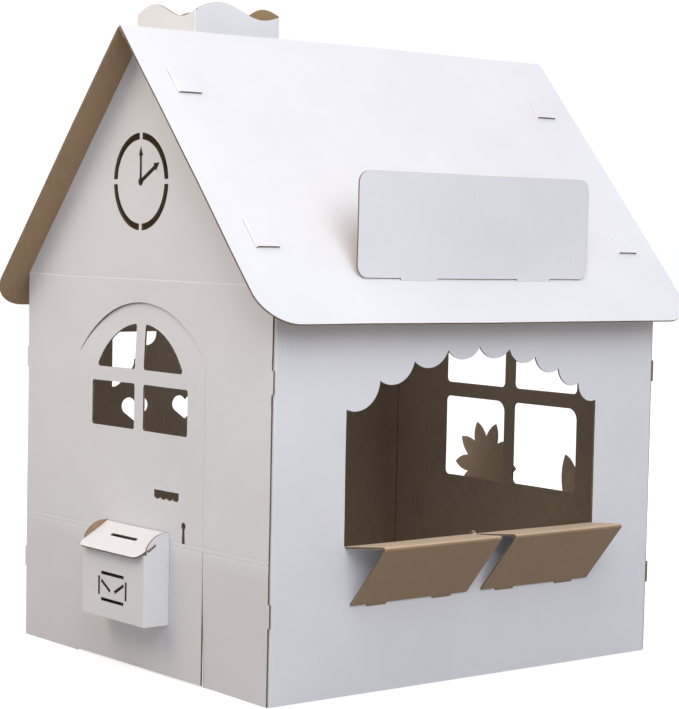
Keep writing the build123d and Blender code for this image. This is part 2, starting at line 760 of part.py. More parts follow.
# Chimney: square tube with a wavy rim, tabbed into the left slope
wave_points = []
for step in range(13):
    along = chimney_width * (step / 12 - 0.5)
    phase = 2 * pi * (along + chimney_width / 2 - chimney_crest) / chimney_width
    wave_points.append((along, chimney_wave * cos(phase)))
with BuildPart() as chimney:
    with BuildSketch(Plane((chimney_x, chimney_y, eave_height))) as tube:
        RectangleRounded(chimney_width, chimney_width, fold_radius + card)
        RectangleRounded(
            chimney_width - 2 * card,
            chimney_width - 2 * card,
            fold_radius,
            mode=Mode.SUBTRACT,
        )
    extrude(tube.sketch, amount=chimney_top + chimney_wave - eave_height)
    with BuildSketch(slope_left.offset(card + lay_gap)) as under_roof:
        Rectangle(4 * verge_reach, 4 * roof_run)
    extrude(under_roof.sketch, amount=-2 * roof_run, mode=Mode.SUBTRACT)
    for quarter in range(4):
        outward = Vector(cos(quarter * pi / 2), sin(quarter * pi / 2), 0)
        rim_plane = Plane(
            Vector(chimney_x, chimney_y, chimney_top) + outward * (chimney_width / 2 - card - fold_radius),
            x_dir=(-outward.Y, outward.X, 0),
            z_dir=outward,
        )
        with BuildSketch(rim_plane) as above_rim:
            with BuildLine():
                Spline(*wave_points)
                Polyline(
                    wave_points[-1],
                    (chimney_width / 2, 2 * chimney_wave),
                    (-chimney_width / 2, 2 * chimney_wave),
                    wave_points[0],
                )
            make_face()
        extrude(above_rim.sketch, amount=3 * card, mode=Mode.SUBTRACT)
    with Locations(*chimney_tabs):
        Box(
            card,
            chimney_tab_width,
            tab_reach + card / slope_x + 3 * card,
            align=(Align.CENTER, Align.CENTER, Align.MIN),
        )
chimney.part.label = "chimney"

os.makedirs("parts", exist_ok=True)
export_step(front_wall.part, "parts/front_wall.step")
export_step(door.part, "parts/door.step")
export_step(letterbox.part, "parts/letterbox.step")
export_step(letterbox_lid.part, "parts/letterbox_lid.step")
export_step(rear_wall.part, "parts/rear_wall.step")
export_step(flower_box.part, "parts/flower_box.step")
export_step(right_wall.part, "parts/right_wall.step")
export_step(left_wall.part, "parts/left_wall.step")
export_step(roof_right.part, "parts/roof_right.step")
export_step(roof_left.part, "parts/roof_left.step")
export_step(roof_sign.part, "parts/roof_sign.step")
export_step(chimney.part, "parts/chimney.step")
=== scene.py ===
import bpy
import bmesh
from math import ceil, cos, floor, hypot, pi, radians, sin
from mathutils import Matrix, Vector, noise


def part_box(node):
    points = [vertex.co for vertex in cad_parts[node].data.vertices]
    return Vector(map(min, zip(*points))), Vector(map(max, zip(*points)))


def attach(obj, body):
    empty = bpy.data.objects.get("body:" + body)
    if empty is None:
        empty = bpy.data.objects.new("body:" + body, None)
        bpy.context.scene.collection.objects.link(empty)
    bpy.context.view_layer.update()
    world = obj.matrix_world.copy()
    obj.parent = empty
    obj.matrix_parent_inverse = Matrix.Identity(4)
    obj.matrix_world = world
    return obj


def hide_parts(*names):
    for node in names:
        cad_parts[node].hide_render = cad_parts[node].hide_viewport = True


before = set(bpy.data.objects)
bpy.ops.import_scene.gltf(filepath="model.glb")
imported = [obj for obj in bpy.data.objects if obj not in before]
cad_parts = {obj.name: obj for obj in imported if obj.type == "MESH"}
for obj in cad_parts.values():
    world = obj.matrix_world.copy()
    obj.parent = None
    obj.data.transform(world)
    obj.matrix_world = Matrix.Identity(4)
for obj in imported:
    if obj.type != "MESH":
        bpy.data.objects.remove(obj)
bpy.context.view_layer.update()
print("frame loaded:", len(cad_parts), "nodes")

mm = 0.001  # the frame is in metres, board sizes are in millimetres


def toLinear(hexText):
    channels = [int(hexText[i:i + 2], 16) / 255 for i in (1, 3, 5)]
    return [c / 12.92 if c <= 0.04045 else ((c + 0.055) / 1.055) ** 2.4 for c in channels] + [1.0]


def addNode(tree, kind, settings=None, links=None):
    node = tree.nodes.new(kind)
    for name, value in (settings or {}).items():
        if isinstance(name, int) or name in node.inputs:
            node.inputs[name].default_value = value
        else:
            setattr(node, name, value)
    for name, source in (links or {}).items():
        tree.links.new(source, node.inputs[name])
    return node


def mathStep(tree, operation, *values):
    # each value is a number or a socket
    settings, links = {"operation": operation}, {}
    for index, value in enumerate(values):
        if isinstance(value, (int, float)):
            settings[index] = value
        else:
            links[index] = value
    return addNode(tree, "ShaderNodeMath", settings, links).outputs[0]


def mixColours(tree, share, first, second):
    # each colour is hex text or a socket
    settings, links = {"data_type": "RGBA"}, {0: share}
    for index, colour in ((6, first), (7, second)):
        if isinstance(colour, str):
            settings[index] = toLinear(colour)
        else:
            links[index] = colour
    return addNode(tree, "ShaderNodeMix", settings, links).outputs[2]


def mapRange(tree, source, about):
    (readLow, readHigh), (giveLow, giveHigh) = about["reads"], about["gives"]
    limits = {"From Min": readLow, "From Max": readHigh, "To Min": giveLow, "To Max": giveHigh}
    return addNode(tree, "ShaderNodeMapRange", limits, {"Value": source}).outputs[0]


def paperNoise(tree, place, about):
    # the size is the real one, in millimetres
    settings = {"Scale": 1 / (about["size"] * mm), "Detail": about["detail"], "Roughness": about["roughness"]}
    return addNode(tree, "ShaderNodeTexNoise", settings, {"Vector": place}).outputs["Fac"]


def faceMark(tree, name):
    return addNode(tree, "ShaderNodeAttribute", {"attribute_name": name}).outputs["Fac"]


def newMaterial(name):
    material = bpy.data.materials.new(name)
    material.use_nodes = True
    material.node_tree.nodes.clear()
    return material, material.node_tree


# What the board is made of. C flute: about 4 mm thick with a wave every 8 mm.
board = {
    "thickness": 4.0,
    "flutePitch": 8.0,
    "white": "#F0F0F1",
    "whiteShade": "#E6E6E7",
    "whiteFleckAndShade": "#D8D3CC",
    "whiteCreaseHighlight": "#FFFFFF",
    "kraft": "#AF9576",
    "kraftDark": "#9C8367",
    "kraftFibre": "#BFA585",
    "kraftLitTop": "#EACEAA",
    "hollowShade": "#55463A",
    "flutePaper": "#C0A88D",
}


def sheetPlaces(tree):
    # the sheet's own flat coordinates, and the place on the object
    flat = addNode(tree, "ShaderNodeUVMap", {"uv_map": "sheet"})
    place = addNode(tree, "ShaderNodeTexCoord")
    return flat.outputs[0], place.outputs["Object"]


def sheetWave(tree, flat):
    # the flutes' washboard: one soft line every pitch, across the sheet's own u
    across = addNode(tree, "ShaderNodeSeparateXYZ", links={0: flat}).outputs[0]
    turns = mathStep(tree, "MULTIPLY", across, 2 * pi / (board["flutePitch"] * mm))
    return mathStep(tree, "SINE", turns)


def paperSurface(tree, about, colour, height, roughness):
    # roughness is a number or a socket
    bump = addNode(tree, "ShaderNodeBump",
                   {"Strength": about["bumpStrength"], "Distance": about["bumpDepth"] * mm},
                   {"Height": height})
    settings = {"IOR": about["ior"], "Specular IOR Level": about["specular"]}
    links = {"Base Color": colour, "Normal": bump.outputs[0]}
    (settings if isinstance(roughness, float) else links)["Roughness"] = roughness
    shader = addNode(tree, "ShaderNodeBsdfPrincipled", settings, links)
    addNode(tree, "ShaderNodeOutputMaterial", links={"Surface": shader.outputs[0]})


# Fibre flecks are under 1 mm on the real sheet, drawn at 2.5 mm so that they show.
whiteLiner = {
    "clouds": {"size": 340.0, "detail": 4.0, "roughness": 0.55, "reads": (0.35, 0.75), "gives": (0.0, 0.8)},
    "handling": {"size": 50.0, "detail": 5.0, "roughness": 0.6, "reads": (0.3, 0.7), "gives": (0.5, 0.66)},
    "flecks": {"size": 2.5, "detail": 2.0, "roughness": 0.5, "reads": (0.62, 0.78), "gives": (0.0, 0.3)},
    "washboard": {"reads": (0.2, 1.0), "gives": (0.0, 0.07), "height": 0.5},
    "lowPanelShadeStrength": 0.33,
    "bumpStrength": 0.22,
    "bumpDepth": 0.25,
    "ior": 1.5,
    "specular": 0.35,
}


def whiteLinerMaterial():
    # White-top linerboard, clay coated and calendered: matt and even, the flutes just show through
    # as a faint washboard, and handling leaves soft grey clouds and a few brown fibres.
    material, tree = newMaterial("whiteTopLiner_calendered")
    flat, place = sheetPlaces(tree)
    wave = sheetWave(tree, flat)
    clouds, handling, flecks = [paperNoise(tree, place, whiteLiner[name])
                                for name in ("clouds", "handling", "flecks")]
    cloudShare = mapRange(tree, clouds, whiteLiner["clouds"])
    body = mixColours(tree, cloudShare, board["white"], board["whiteShade"])
    waveShare = mapRange(tree, wave, whiteLiner["washboard"])
    lined = mixColours(tree, waveShare, body, board["whiteFleckAndShade"])
    fleckShare = mapRange(tree, flecks, whiteLiner["flecks"])
    flecked = mixColours(tree, fleckShare, lined, board["whiteFleckAndShade"])
    # painted shade: the lowest panels, below the packing crease, are painted greyer for the shade where the
    # board bends a little
    lowShadeShare = mathStep(tree, "MULTIPLY", faceMark(tree, "paintedLowShade"), whiteLiner["lowPanelShadeStrength"])
    lowShaded = mixColours(tree, lowShadeShare, flecked, board["whiteFleckAndShade"])
    # painted highlight: the pressed scores are painted pale, as lines where they catch the light
    creaseHighlighted = mixColours(tree, faceMark(tree, "paintedLight"), lowShaded, board["whiteCreaseHighlight"])
    sheen = mapRange(tree, handling, whiteLiner["handling"])
    waveHeight = mathStep(tree, "MULTIPLY", wave, whiteLiner["washboard"]["height"])
    height = mathStep(tree, "ADD", waveHeight, handling)
    paperSurface(tree, whiteLiner, creaseHighlighted, height, sheen)
    return material


kraftLiner = {
    "clouds": {"size": 120.0, "detail": 5.0, "roughness": 0.6, "reads": (0.3, 0.7), "gives": (0.72, 0.88)},
    "fibres": {"width": 3.5, "length": 30.0, "detail": 3.0, "reads": (0.52, 0.75), "gives": (0.0, 0.55)},
    "washboard": {"reads": (0.1, 1.0), "gives": (0.0, 0.22)},
    "litTopShare": 0.62,
    "bumpStrength": 0.4,
    "bumpDepth": 0.25,
    "ior": 1.48,
    "specular": 0.25,
}


def kraftLinerMaterial():
    # Unbleached kraft liner, as it leaves the paper machine: warm brown, with long pale fibres along
    # the flutes, darker streaks where the glued flute tips wet the paper, and no shine.
    material, tree = newMaterial("kraftLiner_unbleached")
    flat, place = sheetPlaces(tree)
    wave = sheetWave(tree, flat)
    clouds = paperNoise(tree, place, kraftLiner["clouds"])
    fibre = kraftLiner["fibres"]
    perMetre = (1 / (fibre["width"] * mm), 1 / (fibre["length"] * mm), 1.0)
    stretched = addNode(tree, "ShaderNodeMapping", {"Scale": perMetre}, {"Vector": flat})
    fibres = addNode(tree, "ShaderNodeTexNoise", {"Scale": 1.0, "Detail": fibre["detail"]},
                     {"Vector": stretched.outputs[0]}).outputs["Fac"]
    body = mixColours(tree, clouds, board["kraftDark"], board["kraft"])
    fibreShare = mapRange(tree, fibres, fibre)
    fibred = mixColours(tree, fibreShare, body, board["kraftFibre"])
    waveShare = mapRange(tree, wave, kraftLiner["washboard"])
    lined = mixColours(tree, waveShare, fibred, board["kraftDark"])
    # painted light: kraft that faces up, the shelf tops, is painted paler, as where light from above falls on
    # it
    litTopShare = mathStep(tree, "MULTIPLY", faceMark(tree, "paintedLight"), kraftLiner["litTopShare"])
    litTopPainted = mixColours(tree, litTopShare, lined, board["kraftLitTop"])
    rough = mapRange(tree, clouds, kraftLiner["clouds"])
    height = mathStep(tree, "ADD", wave, fibres)
    paperSurface(tree, kraftLiner, litTopPainted, height, rough)
    return material


# Places across the cut are shares of the board's thickness, from the white side.
cutEdge = {
    "fur": {"size": 1.5, "detail": 3.0, "roughness": 0.5},
    "furShare": 0.5,
    "middle": 0.5,
    "crest": 0.36,
    "flute": {"reads": (0.1, 0.2), "gives": (1.0, 0.0)},
    "liners": {"reads": (0.34, 0.42), "gives": (0.0, 1.0)},
    "paper": {"reads": (0.2, 1.1), "gives": (0.0, 1.0)},
    "bumpStrength": 0.8,
    "bumpDepth": 0.8,
    "ior": 1.48,
    "specular": 0.2,
    "roughness": 0.85,
}


def cutEdgeMaterial():
    # Die-cut edge of single-wall corrugated board: two pale liner lines with the fluting paper's wave
    # between them over hollows painted dark for their shade, and a slightly furred, matt cut.
    material, tree = newMaterial("corrugatedEdge_dieCut")
    flat, place = sheetPlaces(tree)
    wave = sheetWave(tree, flat)
    through = addNode(tree, "ShaderNodeSeparateXYZ", links={0: flat}).outputs[1]
    crest = mathStep(tree, "MULTIPLY_ADD", wave, cutEdge["crest"], cutEdge["middle"])
    offFlute = mathStep(tree, "ABSOLUTE", mathStep(tree, "SUBTRACT", through, crest))
    fluteShare = mapRange(tree, offFlute, cutEdge["flute"])
    offMiddle = mathStep(tree, "ABSOLUTE", mathStep(tree, "SUBTRACT", through, cutEdge["middle"]))
    linerShare = mapRange(tree, offMiddle, cutEdge["liners"])
    paper = mathStep(tree, "MAXIMUM", fluteShare, linerShare)
    fur = paperNoise(tree, place, cutEdge["fur"])
    furred = mathStep(tree, "MULTIPLY_ADD", fur, cutEdge["furShare"], paper)
    share = mapRange(tree, furred, cutEdge["paper"])
    # painted shade: the flute hollows, where no paper shows, take a dark colour for the shade inside them
    body = mixColours(tree, share, board["hollowShade"], board["flutePaper"])
    paperSurface(tree, cutEdge, body, share, cutEdge["roughness"])
    return material


tornPaper = {
    "fibre": {"size": 2.0, "detail": 3.0, "roughness": 0.5},
    "bumpStrength": 0.5,
    "bumpDepth": 0.2,
    "ior": 1.48,
    "specular": 0.2,
    "roughness": 0.88,
}


def flutingMaterial():
    # Semi-chemical fluting paper, torn by the die: pale brown, coarse and dull
    material, tree = newMaterial("flutingPaper_semiChemical")
    place = addNode(tree, "ShaderNodeTexCoord").outputs["Object"]
    fibre = paperNoise(tree, place, tornPaper["fibre"])
    body = mixColours(tree, fibre, board["kraftDark"], board["flutePaper"])
    paperSurface(tree, tornPaper, body, fibre, tornPaper["roughness"])
    return material


finishes = {"white": whiteLinerMaterial(), "kraft": kraftLinerMaterial(), "edge": cutEdgeMaterial(),
            "fluting": flutingMaterial()}
finishOrder = ["white", "kraft", "edge"]
whiteIndex, kraftIndex, edgeIndex = range(len(finishOrder))
print("materials made:", ", ".join(m.name for m in finishes.values()))

# Ways that the two roof slopes face
hatchSlope = (0.75, 0, 0.66)
chimneySlope = (-0.75, 0, 0.66)

# What the front gable and the door leaf share, because they are cut from one sheet.
# closedCuts: along the hinge crease and the upper part of the free side the cut is pressed shut, paper to
#   paper; its x, lowest z and highest z.
# straightCrease: the hinge crease isn't buckled, so that the leaf turns on it; its x, its top and how far
#   from it the buckle is back.
# painted shade on the lowest panels: grey up to the first height, none from the second one on.
# scoredY: the floor of the creases, which get a painted highlight, pale at the eave and fainter, by
# scoredShare, lower down.
frontSheet = {"closedCuts": [(-254.5, -1.0, 688.0), (211.5, 262.0, 688.0)],
              "straightCrease": (-254.5, 690.0, 90.0), "paintedLowShade": (235.0, 272.0),
              "scoredY": -531.9, "scoredShare": 0.2}

# Each sheet of the house: its CAD node, the body it rides on and the ways its printed white side faces.
# tube: folded round, with the white side outermost. flutes: its cut edges carry fluting paper.
# footSink, headSink and hingeGap: see sheetOffset. paperEnds, the painted light on upward kraft and kraftNub:
# see markFaces.
sheets = {
    "frontGable": {"node": "front_wall", "body": "house", "white": [(0, -1, 0), hatchSlope, chimneySlope],
                   **frontSheet, "footSink": (211.5, 428.0, 262.0, 5.0)},
    "doorLeaf": {"node": "door", "body": "door", "white": [(0, -1, 0)],
                 **frontSheet, "hingeGap": (-252.5, 665.0, 0.9), "headSink": (620.0, 760.0, 5.0)},
    "postBox": {"node": "letterbox", "body": "door", "white": [(0, -1, 0), (0, 0, -1)], "tube": True},
    "postBoxLid": {"node": "letterbox_lid", "body": "door", "white": [(0, -0.5, 0.85)], "flutes": True},
    "rearGable": {"node": "rear_wall", "body": "house", "white": [(0, 1, 0), hatchSlope, chimneySlope],
                  "paperEnds": [((0, -1, 0), 820.0)]},
    "flowerBox": {"node": "flower_box", "body": "house", "white": [(0, 1, 0), (0, 0, -1)], "tube": True},
    "hatchWall": {"node": "right_wall", "body": "house", "white": [(1, 0, 0)], "flutes": True,
                  "litTops": 0.5, "kraftNub": (-14.0, -1.0, 299.0, 310.0)},
    "curtainWall": {"node": "left_wall", "body": "house", "white": [(-1, 0, 0)]},
    "roofHatchSide": {"node": "roof_right", "body": "house", "white": [hatchSlope], "flutes": True},
    "roofChimneySide": {"node": "roof_left", "body": "house", "white": [chimneySlope], "flutes": True},
    "roofSign": {"node": "roof_sign", "body": "house", "white": [(1, 0, 0)], "flutes": True},
    "chimneyTube": {"node": "chimney", "body": "house", "white": [(0, -1, 0)], "tube": True,
                    "flutes": True},
}

# How the light board is bowed and buckled by its own weight and by handling
buckle = {"gridStep": 34.0, "gridSnap": 0.02, "thinLimit": 3, "bowWave": 420.0, "bowDepth": 2.2,
          "bowShift": (3.1, 7.7, 1.3), "rippleWave": 130.0, "rippleDepth": 0.45, "floorFade": 60.0,
          "slopeReach": 2, "jambSlack": 10.0, "seed": 7}
# noise_vector starts from the time of day unless it is seeded
noise.seed_set(buckle["seed"])

# How the papers and the cut edge are told apart on a bare CAD solid: mm, degrees and shares of an area
reading = {"weld": 0.002, "smoothAngle": 32.0, "panelWidth": 5.6, "sliver": 3.0, "facing": 0.9,
           "tubeShare": 0.3, "sheetShare": 0.5, "levelLimit": 0.05, "scoreDepth": 0.25, "packCreases": 20.0}


def easedShare(value, start, end):
    share = min(1.0, max(0.0, (value - start) / (end - start)))
    return share * share * (3 - 2 * share)


def sheetOffset(point, about):
    bowPlace = point / (buckle["bowWave"] * mm) + Vector(buckle["bowShift"])
    bow = noise.noise_vector(bowPlace) * buckle["bowDepth"] * mm
    ripple = noise.noise_vector(point / (buckle["rippleWave"] * mm)) * buckle["rippleDepth"] * mm
    move = bow + ripple
    move.z *= min(1.0, max(0.0, point.z / (buckle["floorFade"] * mm)))
    if "straightCrease" in about:
        creaseX, creaseTop, reach = about["straightCrease"]
        away = hypot(point.x / mm - creaseX, max(0.0, point.z / mm - creaseTop))
        move *= easedShare(away, 0.0, reach)
    if "headSink" in about:
        # the arched head of the leaf has sunk a little into its opening
        start, end, depth = about["headSink"]
        move.y += depth * mm * easedShare(point.z / mm, start, end)
    if "hingeGap" in about:
        # the leaf is still one sheet with the wall along its hinge crease
        hingeX, topZ, gap = about["hingeGap"]
        if point.x / mm < hingeX and point.z / mm < topZ:
            move.x -= gap * mm
    if "footSink" in about:
        # the panel beside the leaf has been pushed in a little below its crease
        jambX, cornerX, creaseZ, depth = about["footSink"]
        inward = 1.0 - easedShare(point.x / mm, jambX, cornerX)
        down = 1.0 - easedShare(point.z / mm, 0.0, creaseZ)
        if point.x / mm > jambX - buckle["jambSlack"]:
            move.y += depth * mm * inward * down
    return move


def offsetSlopes(point, about):
    # how the offset changes along each axis, to turn the flat sheet's normals with it
    reach = buckle["slopeReach"] * mm
    middle = sheetOffset(point, about)
    ways = [Vector((reach, 0, 0)), Vector((0, reach, 0)), Vector((0, 0, reach))]
    return middle, [(sheetOffset(point + way, about) - middle) / reach for way in ways]


def smoothRegions(mesh, angle):
    # faces that run into each other over folds and bends belong to one side of the sheet
    groups = []
    reached = set()
    for face in mesh.faces:
        if face in reached:
            continue
        reached.add(face)
        group, stack = [face], [face]
        while stack:
            current = stack.pop()
            for edge in current.edges:
                if len(edge.link_faces) != 2:
                    continue
                other = edge.link_faces[0] if edge.link_faces[1] is current else edge.link_faces[1]
                if other not in reached and current.normal.angle(other.normal, pi) < angle:
                    reached.add(other)
                    group.append(other)
                    stack.append(other)
        groups.append(group)
    return groups


def sideOfSheet(mesh, about):
    groups = smoothRegions(mesh, radians(reading["smoothAngle"]))
    owner = {face: index for index, faces in enumerate(groups) for face in faces}
    kinds = {}
    wide = []
    for index, faces in enumerate(groups):
        members = set(faces)
        area = sum(face.calc_area() for face in faces)
        rim = sum(edge.calc_length() for face in faces for edge in face.edges
                  if sum(1 for other in edge.link_faces if other in members) == 1)
        kinds[index] = "edge"
        if rim and 2 * area / rim > reading["panelWidth"] * mm:
            kinds[index] = "kraft"
            wide.append(index)
    for way in about["white"]:
        outward = Vector(way).normalized()
        facing = {}
        for i in wide:
            towards = [f for f in groups[i] if f.normal.dot(outward) > reading["facing"]]
            area = sum(f.calc_area() for f in towards)
            if area:
                facing[i] = (area, sum(f.calc_area() * f.calc_center_median().dot(outward) for f in towards))
        if about.get("tube"):
            # a tube's outer side lies furthest out, its inner side faces the same way from the far wall
            largest = max(area for area, reach in facing.values())
            outer = [i for i, (area, reach) in facing.items() if area > reading["tubeShare"] * largest]
            kinds[max(outer, key=lambda i: facing[i][1] / facing[i][0])] = "white"
            continue
        for i, (area, reach) in facing.items():
            if area > reading["sheetShare"] * sum(f.calc_area() for f in groups[i]):
                kinds[i] = "white"
    # a groove that stays within one side of the sheet takes that side's paper
    narrow = [i for i in range(len(groups)) if kinds[i] == "edge"]
    around = {i: {owner[f] for face in groups[i] for v in face.verts for f in v.link_faces} for i in narrow}
    cutThrough = {i for i in narrow if {"white", "kraft"} <= {kinds[j] for j in around[i]}}
    settled = False
    while not settled:
        settled = True
        for i in narrow:
            touched = {kinds[j] for j in around[i] if j not in cutThrough} - {"edge"}
            if i not in cutThrough and kinds[i] == "edge" and len(touched) == 1:
                kinds[i] = touched.pop()
                settled = False
    return {face: kinds[index] for index, faces in enumerate(groups) for face in faces}


def flatAxes(normal):
    # across the flutes and along them, for a sheet that faces this way
    level = Vector((0, 0, 1)).cross(normal)
    if level.length < reading["levelLimit"]:
        level = Vector((0, 1, 0))
    level.normalize()
    return level, normal.cross(level)


def flatCornerNormals(mesh):
    # each corner takes the area-weighted normal of its own side of the sheet, so slivers count for nothing
    limit = cos(radians(reading["smoothAngle"]))
    area = {face: face.calc_area() for face in mesh.faces}
    corners = []
    for face in mesh.faces:
        for loop in face.loops:
            peers = [f for f in loop.vert.link_faces if f.material_index == face.material_index]
            lead = max(peers, key=area.get) if area[face] < reading["sliver"] * mm * mm else face
            total = Vector()
            for peer in peers:
                if peer.normal.dot(lead.normal) > limit:
                    total += peer.normal * area[peer]
            corners.append(total.normalized() if total.length > 0 else lead.normal.copy())
    return corners


# The fluting paper that stands a little proud along the open cut edges, one run of waves per body
fluting = {"wave": 1.44, "paper": 0.6, "stepsPerWave": 6, "alongLimit": 0.75, "shortest": 0.2}
cutLines = {bodyName: {"points": [], "ways": [], "turns": [], "runs": []} for bodyName in ("house", "door")}


def noteCutLines(mesh, about):
    lines = cutLines[about["body"]]
    numbers = {}
    for edge in mesh.edges:
        sides = sorted(edge.link_faces, key=lambda face: face.material_index)
        if [face.material_index for face in sides] != [whiteIndex, edgeIndex] or sides[1].calc_area() == 0:
            continue
        level, along = flatAxes(sides[0].normal)
        run = edge.verts[1].co - edge.verts[0].co
        if run.length < fluting["shortest"] * mm or abs(run.normalized().dot(along)) > fluting["alongLimit"]:
            continue
        for vert in edge.verts:
            if vert not in numbers:
                middle = vert.co - sides[0].normal * board["thickness"] / 2 * mm
                numbers[vert] = len(lines["points"])
                lines["points"].append(middle + sheetOffset(middle, about))
                lines["ways"].append(-sides[0].normal)
                lines["turns"].append(vert.co.dot(level) / (board["flutePitch"] * mm))
        lines["runs"].append([numbers[vert] for vert in edge.verts])


def fluteTree():
    tree = bpy.data.node_groups.new("fluteRun", "GeometryNodeTree")
    tree.interface.new_socket("Geometry", in_out="INPUT", socket_type="NodeSocketGeometry")
    for label in ("Step Length", "Wave Depth", "Paper Thickness"):
        tree.interface.new_socket(label, in_out="INPUT", socket_type="NodeSocketFloat")
    tree.interface.new_socket("Finish", in_out="INPUT", socket_type="NodeSocketMaterial")
    tree.interface.new_socket("Geometry", in_out="OUTPUT", socket_type="NodeSocketGeometry")
    given = addNode(tree, "NodeGroupInput").outputs
    curve = addNode(tree, "GeometryNodeMeshToCurve", links={"Mesh": given["Geometry"]})
    steps = addNode(tree, "GeometryNodeResampleCurve", {"mode": "LENGTH"},
                    {"Curve": curve.outputs["Curve"], "Length": given["Step Length"]})
    turn = addNode(tree, "GeometryNodeInputNamedAttribute", {"data_type": "FLOAT", "Name": "waveTurn"})
    way = addNode(tree, "GeometryNodeInputNamedAttribute", {"data_type": "FLOAT_VECTOR", "Name": "sheetWay"})
    angle = mathStep(tree, "MULTIPLY", turn.outputs["Attribute"], 2 * pi)
    depth = mathStep(tree, "MULTIPLY", mathStep(tree, "SINE", angle), given["Wave Depth"])
    move = addNode(tree, "ShaderNodeVectorMath", {"operation": "SCALE"},
                   {0: way.outputs["Attribute"], "Scale": depth})
    waved = addNode(tree, "GeometryNodeSetPosition",
                    links={"Geometry": steps.outputs["Curve"], "Offset": move.outputs["Vector"]})
    section = addNode(tree, "GeometryNodeCurvePrimitiveQuadrilateral",
                      links={"Width": given["Paper Thickness"], "Height": given["Paper Thickness"]})
    paper = addNode(tree, "GeometryNodeCurveToMesh", {"Fill Caps": True},
                    {"Curve": waved.outputs["Geometry"], "Profile Curve": section.outputs["Curve"]})
    real = addNode(tree, "GeometryNodeRealizeInstances", links={"Geometry": paper.outputs["Mesh"]})
    finished = addNode(tree, "GeometryNodeSetMaterial",
                       links={"Geometry": real.outputs["Geometry"], "Material": given["Finish"]})
    addNode(tree, "NodeGroupOutput", links={"Geometry": finished.outputs["Geometry"]})
    return tree


def makeFluting(pieceName, bodyName, tree):
    lines = cutLines[bodyName]
    data = bpy.data.meshes.new(pieceName + "Lines")
    data.from_pydata(lines["points"], lines["runs"], [])
    ways = data.attributes.new("sheetWay", "FLOAT_VECTOR", "POINT")
    ways.data.foreach_set("vector", [part for way in lines["ways"] for part in way])
    turns = data.attributes.new("waveTurn", "FLOAT", "POINT")
    turns.data.foreach_set("value", lines["turns"])
    piece = bpy.data.objects.new(pieceName, data)
    bpy.context.scene.collection.objects.link(piece)
    modifier = piece.modifiers.new("fluteRun", "NODES")
    modifier.node_group = tree
    wanted = {"Step Length": board["flutePitch"] * mm / fluting["stepsPerWave"],
              "Wave Depth": fluting["wave"] * mm, "Paper Thickness": fluting["paper"] * mm,
              "Finish": finishes["fluting"]}
    for item in tree.interface.items_tree:
        if item.in_out == "INPUT" and item.name in wanted:
            modifier[item.identifier] = wanted[item.name]
    solid = bpy.data.meshes.new_from_object(piece.evaluated_get(bpy.context.evaluated_depsgraph_get()))
    piece.modifiers.remove(modifier)
    piece.data = solid
    for polygon in solid.polygons:
        polygon.use_smooth = False
    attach(piece, bodyName)
    print("fluting", pieceName, len(solid.polygons), "faces")


def readSheet(about):
    # the CAD node's faces, welded into one mesh and told apart as white, kraft or cut edge
    mesh = bmesh.new()
    mesh.from_mesh(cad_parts[about["node"]].data)
    bmesh.ops.remove_doubles(mesh, verts=mesh.verts, dist=reading["weld"] * mm)
    bmesh.ops.dissolve_degenerate(mesh, edges=mesh.edges, dist=reading["weld"] * mm)
    mesh.normal_update()
    kinds = sideOfSheet(mesh, about)
    for face in mesh.faces:
        face.material_index = finishOrder.index(kinds[face])
    return mesh


def cutGrid(mesh, about):
    # a grid of cuts gives the sheet the points that it buckles at
    low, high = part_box(about["node"])
    for axis in range(3):
        # a thin sheet needs no cuts through its thickness
        if high[axis] - low[axis] < buckle["thinLimit"] * board["thickness"] * mm:
            continue
        step = buckle["gridStep"] * mm
        way = Vector([1.0 if i == axis else 0.0 for i in range(3)])
        for count in range(ceil(low[axis] / step), floor(high[axis] / step) + 1):
            everything = mesh.verts[:] + mesh.edges[:] + mesh.faces[:]
            bmesh.ops.bisect_plane(mesh, geom=everything, dist=buckle["gridSnap"] * mm,
                                   plane_co=way * count * step, plane_no=way)
    mesh.normal_update()


def layOut(mesh):
    # u runs across the flutes; v runs along them, or from the white side to the kraft side of a cut
    uv = mesh.loops.layers.uv.new("sheet")
    for face in mesh.faces:
        if face.material_index != edgeIndex:
            level, along = flatAxes(face.normal)
            for loop in face.loops:
                loop[uv].uv = (loop.vert.co.dot(level), loop.vert.co.dot(along))
            continue
        for loop in face.loops:
            around = loop.vert.link_faces
            white = [f for f in around if f.material_index == whiteIndex]
            kraft = [f for f in around if f.material_index == kraftIndex]
            level, along = flatAxes((white + kraft)[0].normal) if white or kraft else flatAxes(face.normal)
            share = 0.0 if white and not kraft else 1.0 if kraft and not white else 0.5
            loop[uv].uv = (loop.vert.co.dot(level), share)


def markFaces(mesh, about):
    paintedLight = mesh.faces.layers.float.new("paintedLight")
    for face in mesh.faces:
        face.smooth = True
        centre = face.calc_center_median() / mm
        for lineX, lowZ, highZ in about.get("closedCuts", []):
            if (face.material_index == edgeIndex and abs(centre.x - lineX) < board["thickness"]
                    and lowZ < centre.z < highZ):
                face.material_index = whiteIndex
        # the ends of the roof tabs, which show no brown in the photo
        for way, lowZ in about.get("paperEnds", []):
            if (face.material_index == edgeIndex and face.normal.dot(Vector(way)) > reading["facing"]
                    and centre.z > lowZ):
                face.material_index = whiteIndex
        # painted highlight on the floors of the scored creases, weaker on the packing creases low down
        if ("scoredY" in about and face.material_index == whiteIndex
                and abs(centre.y - about["scoredY"]) < reading["scoreDepth"]):
            packed = centre.z < about["paintedLowShade"][1] + reading["packCreases"]
            face[paintedLight] = about["scoredShare"] if packed else 1.0
        # painted light: kraft that faces up is a shelf top, and gets the paler painted colour of a lit top
        if "litTops" in about and face.material_index == kraftIndex and face.normal.z > about["litTops"]:
            face[paintedLight] = 1.0
        # the nub between the shelves stands in bare kraft
        if "kraftNub" in about:
            lowY, highY, lowZ, highZ = about["kraftNub"]
            if lowY < centre.y < highY and lowZ < centre.z < highZ:
                face.material_index = kraftIndex


